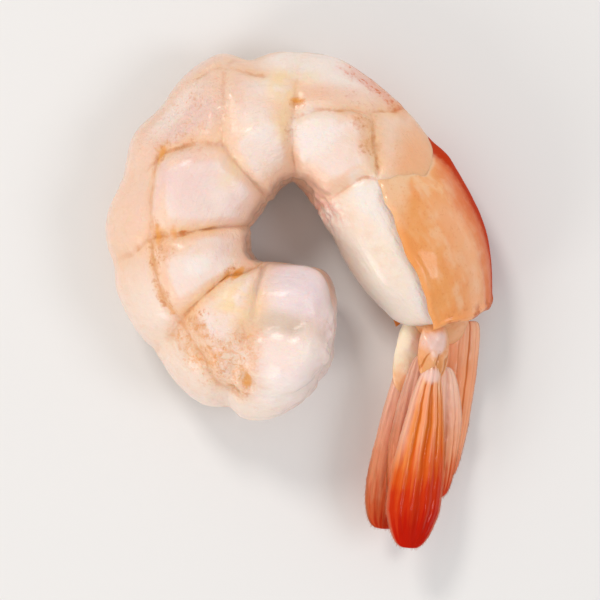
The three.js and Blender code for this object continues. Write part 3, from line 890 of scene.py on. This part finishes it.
bladeRelief = {
    "segments": 96,
    "rings": 150,
    "tipBlunt": 0.6,
    # middle and width of each rib as shares of half the blade, and its height
    "ribs": [
        (-0.9, 0.06, 0.06), (-0.6, 0.10, 0.09), (-0.18, 0.18, 0.18), (0.4, 0.14, 0.15), (0.74, 0.08, 0.07),
    ],
    # middle and width of each dark groove, and how dark it is
    "grooves": [
        (-0.77, 0.06, 0.7), (-0.42, 0.07, 0.75), (0.12, 0.1, 1.0), (0.58, 0.06, 0.7), (0.84, 0.06, 0.5),
    ],
    "bristles": 170,
    "bristleLength": 0.5,
    "bristleWidth": 0.03,
}


def fanPlace(local):
    along, back, flank = local
    return fanOrigin + fanTailward * along + fanBack * back + fanFlank * flank


def bladeAxes(shape):
    # Where a blade's own x, y and z axes point, and how long it is
    root = fanPlace(shape["root"])
    axis = fanPlace(shape["tip"]) - root
    tilt = math.radians(shape["tilt"])
    facing = fanFlank * math.cos(tilt) + fanBack * math.sin(tilt)
    sideways = np.cross(facing, axis)
    sideways /= np.linalg.norm(sideways)
    outward = np.cross(axis, sideways)
    outward /= np.linalg.norm(outward)
    length = float(np.linalg.norm(axis))
    return root, axis / length, sideways, outward, length


def bladeTree(material):
    # One leaf of the tail fan: a ball drawn out flat, with ribs and a fringe of bristles
    tree = bpy.data.node_groups.new("fanBlade", "GeometryNodeTree")
    sizes = {
        "Length": 20.0, "Width": 8.0, "Thick": 0.9, "Arch": 0.5,
        "Widest": 0.6, "Taper": 0.4, "Root blunt": 0.5,
        "Redness": 1.0, "Ribbing": 1.0, "Knuckle": 0.0, "Seed": 1.0,
        "Bristle length": bladeRelief["bristleLength"], "Bristle width": bladeRelief["bristleWidth"],
    }
    for label, value in sizes.items():
        tree.interface.new_socket(label, in_out="INPUT", socket_type="NodeSocketFloat").default_value = value
    tree.interface.new_socket("Geometry", in_out="OUTPUT", socket_type="NodeSocketGeometry")
    board = Board(tree)
    given = tree.nodes.new("NodeGroupInput")
    size = {label: Wire(board, given.outputs[label]) for label in sizes}

    def leafAt(run, girth):
        blunt = size["Root blunt"] + (bladeRelief["tipBlunt"] - size["Root blunt"]) * run
        return girth**blunt * (1.0 - size["Taper"] * board.math("ABSOLUTE", run - size["Widest"]))

    counts = {"Segments": bladeRelief["segments"], "Rings": bladeRelief["rings"], "Radius": 1.0}
    ball = board.add("GeometryNodeMeshUVSphere", None, counts)
    ballX, ballY, ballZ = board.split(board.add("GeometryNodeInputPosition"))
    girth = board.math("SQRT", ballX * ballX + ballY * ballY)
    x = ballX / girth
    y = ballY / girth
    run = (1.0 - ballZ) / 2.0
    leaf = leafAt(run, girth)
    crinklePlace = board.combined(run * 5.0, x * 1.6, size["Seed"] * 3.0)
    crinkle = board.rawNoise(crinklePlace)
    swerve = x + (crinkle - 0.5) * 0.3
    ribs = 0.0
    for middle, width, rise in bladeRelief["ribs"]:
        ribs = rise * board.bell(swerve - middle, width) + ribs
    grooves = 0.0
    for middle, width, depth in bladeRelief["grooves"]:
        grooves = depth * board.bell(swerve - middle, width) + grooves
    ribs = ribs * size["Ribbing"]
    grooves = grooves * size["Ribbing"]
    ribFade = leaf * board.ease(run, 0.99, 0.8)
    thin = y * board.math("ABSOLUTE", y) ** 0.6
    height = thin * size["Thick"] * 0.5 * board.math("SQRT", girth)
    height = height + (ribs * 1.2 - grooves * 0.18) * y * ribFade
    lumpy = (crinkle - 0.5) * 0.5
    knuckle = size["Knuckle"] * board.bell((run - 0.075) * size["Length"] + lumpy, 1.2)
    knuckle = knuckle * board.bell((x + lumpy) * leaf, 0.34)
    height = height + knuckle * board.math("MAXIMUM", y, 0.0) * 0.5
    height = height + size["Arch"] * leaf * (0.5 - x * x) + (crinkle - 0.5) * 0.5 * leaf
    ragged = board.rawNoise(crinklePlace, 6.0)
    half = size["Width"] * 0.5 * leaf * (1.0 + (ragged - 0.5) * 0.05)
    spot = board.combined(run * size["Length"], half * x, height)
    fields = {
        "bladeRun": run, "bladeAcross": x, "ribbed": ribs, "grooved": grooves,
        "redness": size["Redness"], "knuckle": knuckle, "fringe": 0.0,
    }
    blade = keepFields(board, ball, fields)
    blade = board.moved(blade, spot)

    # Bristles stand round the outer part of the leaf's edge
    count = bladeRelief["bristles"]
    line = board.add("GeometryNodeMeshLine", None, {"Count": count})
    index = board.add("GeometryNodeInputIndex")
    place = index * (2.0 / (count - 1)) - 1.0
    turn = math.pi - board.math("ABSOLUTE", place) * 0.42 * math.pi
    edgeRun = (1.0 - board.math("COSINE", turn)) / 2.0
    edgeSide = board.math("SIGN", place)
    edgeLeaf = leafAt(edgeRun, board.math("SINE", turn))
    edgeY = edgeSide * size["Width"] * 0.5 * edgeLeaf * 0.985
    edgeX = edgeRun * size["Length"] * 0.998
    edgeZ = size["Arch"] * edgeLeaf * -0.5
    edge = board.combined(edgeX, edgeY, edgeZ)
    roots = board.moved(line, edge)
    ranges = {"Min": (-0.25, -0.25, -0.35), "Max": (0.25, 0.25, 0.35), "Seed": 7}
    jitter = board.add("FunctionNodeRandomValue", {"data_type": "FLOAT_VECTOR"}, ranges, 0)
    aim = board.combined(edgeX - size["Length"] * 0.5, edgeY * 0.8, 0.0)
    aim = board.vector("ADD", board.vector("NORMALIZE", aim), jitter)
    turned = board.add("FunctionNodeAlignRotationToVector", {"axis": "Z"}, {"Vector": aim})
    cone = board.add("GeometryNodeMeshCone", None, {
        "Vertices": 4, "Side Segments": 2, "Radius Top": 0.004 * mm,
        "Radius Bottom": size["Bristle width"] * mm, "Depth": size["Bristle length"] * mm,
    })
    lengths = board.add("FunctionNodeRandomValue", {"data_type": "FLOAT"}, {2: 0.45, 3: 1.0, "Seed": 9}, 1)
    fringe = board.add("GeometryNodeInstanceOnPoints", None, {
        "Points": roots, "Instance": cone, "Rotation": turned, "Scale": lengths,
    })
    fringe = board.add("GeometryNodeRealizeInstances", None, {"Geometry": fringe})
    fields = {
        "bladeRun": 1.0, "bladeAcross": 1.0, "ribbed": 0.1, "grooved": 0.0,
        "redness": size["Redness"], "knuckle": 0.0, "fringe": 1.0,
    }
    fringe = keepFields(board, fringe, fields)
    joined = board.add("GeometryNodeJoinGeometry")
    for part in (fringe, blade):
        board.feed(joined.socket.node.inputs["Geometry"], part)
    joined = board.add("GeometryNodeSetShadeSmooth", None, {"Geometry": joined})
    joined = board.add("GeometryNodeRealizeInstances", None, {"Geometry": joined})
    dressed = board.add("GeometryNodeSetMaterial", None, {"Geometry": joined, "Material": material})
    result = tree.nodes.new("NodeGroupOutput")
    board.feed(result.inputs["Geometry"], dressed)
    return tree


def keepFields(board, geometry, fields):
    # Stores values on the points, for the material to read
    settings = {"data_type": "FLOAT", "domain": "POINT"}
    for name, value in fields.items():
        inputs = {"Geometry": geometry, "Name": name, "Value": value}
        geometry = board.add("GeometryNodeStoreNamedAttribute", settings, inputs)
    return geometry


def makeBlade(name, shape, tree, seed):
    root, axis, sideways, outward, length = bladeAxes(shape)
    piece = bpy.data.objects.new(name, bpy.data.meshes.new(name))
    bpy.context.scene.collection.objects.link(piece)
    applyTree(piece, tree, {
        "Length": length, "Width": shape["width"], "Thick": shape["thick"], "Arch": shape["arch"],
        "Widest": shape["widest"], "Taper": shape["taper"], "Root blunt": shape["rootBlunt"],
        "Redness": shape["redness"], "Ribbing": shape["ribbing"], "Knuckle": shape["knuckle"],
        "Seed": float(seed),
    })
    turn = Matrix((axis, sideways, outward)).transposed().to_4x4()
    piece.data.transform(Matrix.Translation(Vector(root * mm)) @ turn)
    return piece


def bladeMaterial():
    constants = {
        "Subsurface Weight": 0.2,
        "Subsurface Radius": (1.0, 0.4, 0.18),
        "Subsurface Scale": 0.6 * mm,
        "IOR": 1.5,
        "Specular IOR Level": 0.05,
        "Coat Roughness": 0.08,
    }
    material, board, shader = newMaterial("cookedFan", constants)
    place = board.place()
    run, across, ribbed, grooved = board.attributes("bladeRun", "bladeAcross", "ribbed", "grooved")
    redness, knuckle, fringe = board.attributes("redness", "knuckle", "fringe")
    middle = board.noise(place, 2.5, 3.0)
    fine = board.noise(place, 0.6, 3.0, 0.6)
    streakPlace = board.combined(run * 1.6, across * 7.0, redness * 9.0)
    streaks = board.rawNoise(streakPlace, 1.0, 3.0, 0.6)

    # Pale at the root and orange along the blade, with pink ribs that also carry painted highlights, and
    # brown grooves
    paint = Paint(board, 250, 204, 166)
    paint.lay(board.ease(run + (middle - 0.5) * 0.2, 0.02, 0.34), 236, 140, 68)
    paint.lay(board.ease(streaks, 0.42, 0.66) * 0.5, 224, 108, 26)
    # the lower blades are pink, and painted lighter as well to offset the shade they lie in under the main
    # blade
    pink = board.ease(redness, 0.9, 0.5)
    paint.lay(pink * 0.6, 252, 180, 144)
    # pink along the ribs, partly their own colour and partly a painted highlight on each rib
    ribPinkAndSheen = board.ease(ribbed + (streaks - 0.5) * 0.1, 0.07, 0.16)
    paint.lay(ribPinkAndSheen * board.ease(run, 0.75, 0.4) * 0.7, 249, 166, 124)
    groove = board.ease(grooved + (streaks - 0.5) * 0.5, 0.15, 0.6)
    paint.lay(groove * 0.9, 204, 98, 20)

    # Red gathers towards the tips, sooner along one side
    reach = run + across * 0.08 + (streaks - 0.5) * 0.4 + (redness - 1.0) * 0.45 + (middle - 0.5) * 0.15
    paint.lay(board.ease(reach, 0.36, 0.6) * 0.8, 216, 78, 18)
    paint.lay(board.ease(reach, 0.58, 0.72) * 0.9, 202, 44, 10)
    paint.lay(board.ease(reach, 0.74, 0.9) * 0.8, 186, 14, 2)
    edge = board.ease(board.math("ABSOLUTE", across), 0.86, 0.98)
    paint.lay(edge * 0.45, 236, 150, 112)
    # pale roots of the lower blades, also painted light to offset the main blade's shadow on them
    paleRootAndLight = pink * board.ease(redness, 0.1, 0.25) * board.ease(run + (middle - 0.5) * 0.2, 0.75, 0.12)
    paint.lay(paleRootAndLight * 0.7, 251, 208, 188)
    paleEdge = board.ease(redness, 0.8, 0.95) * board.ease(across, -0.55, -0.85)
    paint.lay(paleEdge * board.ease(run, 0.62, 0.36) * 0.65, 248, 198, 176)
    paint.lay(edge * pink * board.ease(run, 0.5, 0.8) * 0.7, 208, 108, 44)
    paint.lay(board.ease(knuckle + (fine - 0.5) * 0.4, 0.3, 0.8) * 0.85, 242, 206, 194)
    paint.lay(fringe * 0.6, 236, 160, 132)
    board.feed(shader.inputs["Base Color"], paint.colour)
    board.feed(shader.inputs["Roughness"], 0.24 + fine * 0.22)
    board.feed(shader.inputs["Coat Weight"], 0.15 + middle * 0.25)
    board.feed(shader.inputs["Alpha"], 1.0 - edge * 0.3)
    board.feed(shader.inputs["Normal"], bump(board, streaks * 1.0 + fine * 0.5, 0.4, 0.2))
    return material


# The two stout bases between the last segment and the blades. cream says how pale and yellow one is
baseShapes = {
    "uropod_base_left": {
        "root": (-0.6, -2.4, 1.9), "tip": (7.4, -2.2, 2.9), "width": 4.4, "thick": 1.9, "cream": 0.0,
        "lumps": [(0.36, -0.2, 0.45, 1.8)],
    },
    "uropod_base_right": {
        "root": (-0.6, -3.0, -0.8), "tip": (9.6, -3.3, -1.0), "width": 5.6, "thick": 1.8, "cream": 1.0,
        "lumps": [(0.35, -0.3, 0.25, 2.2)],
    },
}
# Lumps on a base's upper face: (share of its length, share of its width, height, size in millimetres)
baseRelief = {"rows": 110, "columns": 120}


def makeBase(name, shape, seed):
    root = fanPlace(shape["root"])
    axis = fanPlace(shape["tip"]) - root
    sideways = np.cross(fanFlank, axis)
    sideways /= np.linalg.norm(sideways)
    outward = np.cross(axis, sideways)
    outward /= np.linalg.norm(outward)
    turn = np.linspace(0, 1, baseRelief["rows"])[:, None] * np.pi
    around = np.arange(baseRelief["columns"])[None, :] * 2 * np.pi / baseRelief["columns"]
    run = (1 - np.cos(turn)) / 2 + 0 * around
    girth = np.sin(turn) ** (0.4 + 0.5 * run) + 0 * around
    x = np.cos(around) * girth
    y = np.sin(around) * girth
    plain = root + axis * run[..., None] + sideways * (x * shape["width"] / 2)[..., None]
    plain = plain + outward * (y * shape["thick"] / 2)[..., None]
    knob = np.zeros_like(run)
    for lumpRun, lumpSide, rise, size in shape["lumps"]:
        alongAway = (run - lumpRun) * np.linalg.norm(axis)
        sideAway = (x - lumpSide) * shape["width"] / 2
        away = np.hypot(alongAway, sideAway) + 0.5 * cloud(plain, 0.9, seed + 3)
        knob += rise * bell(away, size) * (np.sin(around) > 0)
    lift = knob + 0.25 * cloud(plain, 2.0, seed) + 0.1 * cloud(plain, 0.8, seed + 1)
    notch = bell(np.sin(x * 4.2 + run * 5 + 1.2 * cloud(plain, 1.5, seed + 2)), 0.3)
    notch = notch * ease(run, 0.45, 0.6) * (1 - shape["cream"])
    lift = lift - 0.14 * notch * girth
    points = plain + outward * (lift * np.sign(y) * np.abs(y) ** 0.3)[..., None]
    fields = {"bladeRun": run, "knob": knob, "notch": notch, "cream": shape["cream"] + 0 * run}
    return addBall(name, points, fields)


def baseMaterial():
    constants = {
        "Subsurface Weight": 0.45,
        "Subsurface Radius": (1.0, 0.45, 0.28),
        "Subsurface Scale": 1.2 * mm,
        "IOR": 1.45,
        "Coat Roughness": 0.12,
    }
    material, board, shader = newMaterial("cookedJoint", constants)
    place = board.place()
    run, knob, notch, cream = board.attributes("bladeRun", "knob", "notch", "cream")
    middle = board.noise(place, 2.0, 3.0)
    fine = board.noise(place, 0.6, 3.0, 0.6)
    paint = Paint(board, 238, 174, 124)
    paint.lay(cream, 253, 232, 206)
    paint.lay(board.ease(run + (middle - 0.5) * 0.5, 0.5, 0.9) * 0.8, 238, 162, 98)
    paint.lay(board.ease(middle, 0.5, 0.64) * (1.0 - cream) * 0.6, 220, 142, 76)
    paint.lay(board.ease(knob + (fine - 0.5) * 0.2, 0.12, 0.36) * 0.85, 242, 212, 204)
    paint.lay(board.ease(notch + (fine - 0.5) * 0.5, 0.28, 0.75) * 0.85, 204, 118, 36)
    paint.lay(board.ease(fine, 0.6, 0.72) * (1.0 - cream) * 0.35, 206, 116, 62)
    board.feed(shader.inputs["Base Color"], paint.colour)
    board.feed(shader.inputs["Roughness"], 0.28 + fine * 0.22)
    board.feed(shader.inputs["Coat Weight"], 0.3 + middle * 0.3)
    board.feed(shader.inputs["Normal"], bump(board, middle * 0.5 + fine, 0.4, 0.2))
    return material


# A soft collar closes the shell's rear end round the fan's joints
collar = {"rows": 110, "columns": 160, "from": -2.2, "to": 2.6, "share": 0.72, "taper": 0.4, "folds": 0.04}


def makeCollar():
    turn = np.linspace(0, 1, collar["rows"])[:, None] * np.pi
    around = np.arange(collar["columns"])[None, :] * 2 * np.pi / collar["columns"]
    run = (1 - np.cos(turn)) / 2 + 0 * around
    at = lastJoint + collar["from"] + (collar["to"] - collar["from"]) * run
    share = collar["share"] * np.sin(turn) ** 0.45 * (1 - collar["taper"] * run**1.5) + 0 * around
    folds = collar["folds"] * np.sin(run * 24 + 1.5 * np.sin(around * 2)) * np.sin(turn)
    plain = sectionPoint(at, around, share)
    folds = folds + 0.2 * cloud(plain, 1.6, 51)
    points = sectionPoint(at, around, share, folds)
    fields = {"bladeRun": 0.3 + 0 * run, "knob": 0 * run, "notch": 0 * run, "cream": 0 * run}
    return addBall("tailCollar", points, fields)


studio = {
    "floorTone": (233, 232, 231),
    "frameWidth": 78.0,
    "cameraHeight": 430.0,
    "middle": (0.0, 0.0),
    "key": {"place": (-190, 340, 420), "size": 140, "watts": 0.95, "tone": (255, 250, 244)},
    "fill": {"place": (330, -60, 380), "size": 200, "watts": 0.5, "tone": (250, 250, 255)},
    "rim": {"place": (-340, -260, 220), "size": 200, "watts": 0.7, "tone": (255, 252, 248)},
    "sky": 0.6,
}


def makeStudio():
    bpy.ops.mesh.primitive_plane_add(size=3.0)
    floor = bpy.context.active_object
    floor.name = "floor"
    material, board, shader = newMaterial("paleFloor", {"Roughness": 0.75, "Specular IOR Level": 0.2})
    paper = board.noise(board.place(), 60.0, 3.0)
    low = tone(*(v - 2 for v in studio["floorTone"]))
    board.feed(shader.inputs["Base Color"], board.blend(paper, low, tone(*studio["floorTone"])))
    floor.data.materials.append(material)

    for name in ("key", "fill", "rim"):
        light = bpy.data.lights.new(name, "AREA")
        light.shape = "DISK"
        light.size = studio[name]["size"] * mm
        light.energy = studio[name]["watts"]
        light.color = tone(*studio[name]["tone"])[:3]
        lamp = bpy.data.objects.new(name, light)
        lamp.location = Vector(studio[name]["place"]) * mm
        lamp.rotation_euler = (-lamp.location).to_track_quat("-Z", "Y").to_euler()
        bpy.context.scene.collection.objects.link(lamp)
    world = bpy.data.worlds.new("softSky")
    world.use_nodes = True
    world.node_tree.nodes["Background"].inputs["Color"].default_value = (1.0, 0.985, 0.97, 1.0)
    world.node_tree.nodes["Background"].inputs["Strength"].default_value = studio["sky"]
    bpy.context.scene.world = world
    world.cycles_visibility.glossy = False  # the sky lights the wet surfaces but isn't mirrored in them

    bpy.context.scene.view_settings.view_transform = "Standard"

    # The camera looks straight down, as in the photograph
    camera = bpy.data.objects.new("camera", bpy.data.cameras.new("camera"))
    camera.data.lens = camera.data.sensor_width * studio["cameraHeight"] / studio["frameWidth"]
    camera.location = (studio["middle"][0] * mm, studio["middle"][1] * mm, studio["cameraHeight"] * mm)
    camera.data.clip_start = 0.01
    bpy.context.scene.collection.objects.link(camera)
    bpy.context.scene.camera = camera


def settle(piece, slotName, *nodes):
    # Puts a finished piece on the body and in the place of its CAD nodes
    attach(piece, "root")
    if nodes:
        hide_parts(*nodes)


makeStudio()
print("studio ready")

fleshPiece = makeFlesh()
dressFlesh(fleshPiece)
applyTree(fleshPiece, grainTree())
settle(fleshPiece, "flesh", "flesh")
print("flesh ready", len(fleshPiece.data.polygons))

shellPiece = makeShell()
dressShell(shellPiece)
settle(shellPiece, "shell", "tail_shell")
print("shell ready", len(shellPiece.data.polygons))

leafMaterial = bladeMaterial()
leafTree = bladeTree(leafMaterial)
for seed, (node, shape) in enumerate(bladeShapes.items()):
    blade = makeBlade(node + "_leaf", shape, leafTree, seed + 1)
    settle(blade, "fan_blade", node)
print("tail fan ready")

jointMaterial = baseMaterial()
for seed, (node, shape) in enumerate(baseShapes.items()):
    base = makeBase(node + "_block", shape, 60 + seed * 5)
    base.data.materials.append(jointMaterial)
    settle(base, "fan_base", node)
collarPiece = makeCollar()
collarPiece.data.materials.append(jointMaterial)
settle(collarPiece, "fan_base")
print("joints ready")
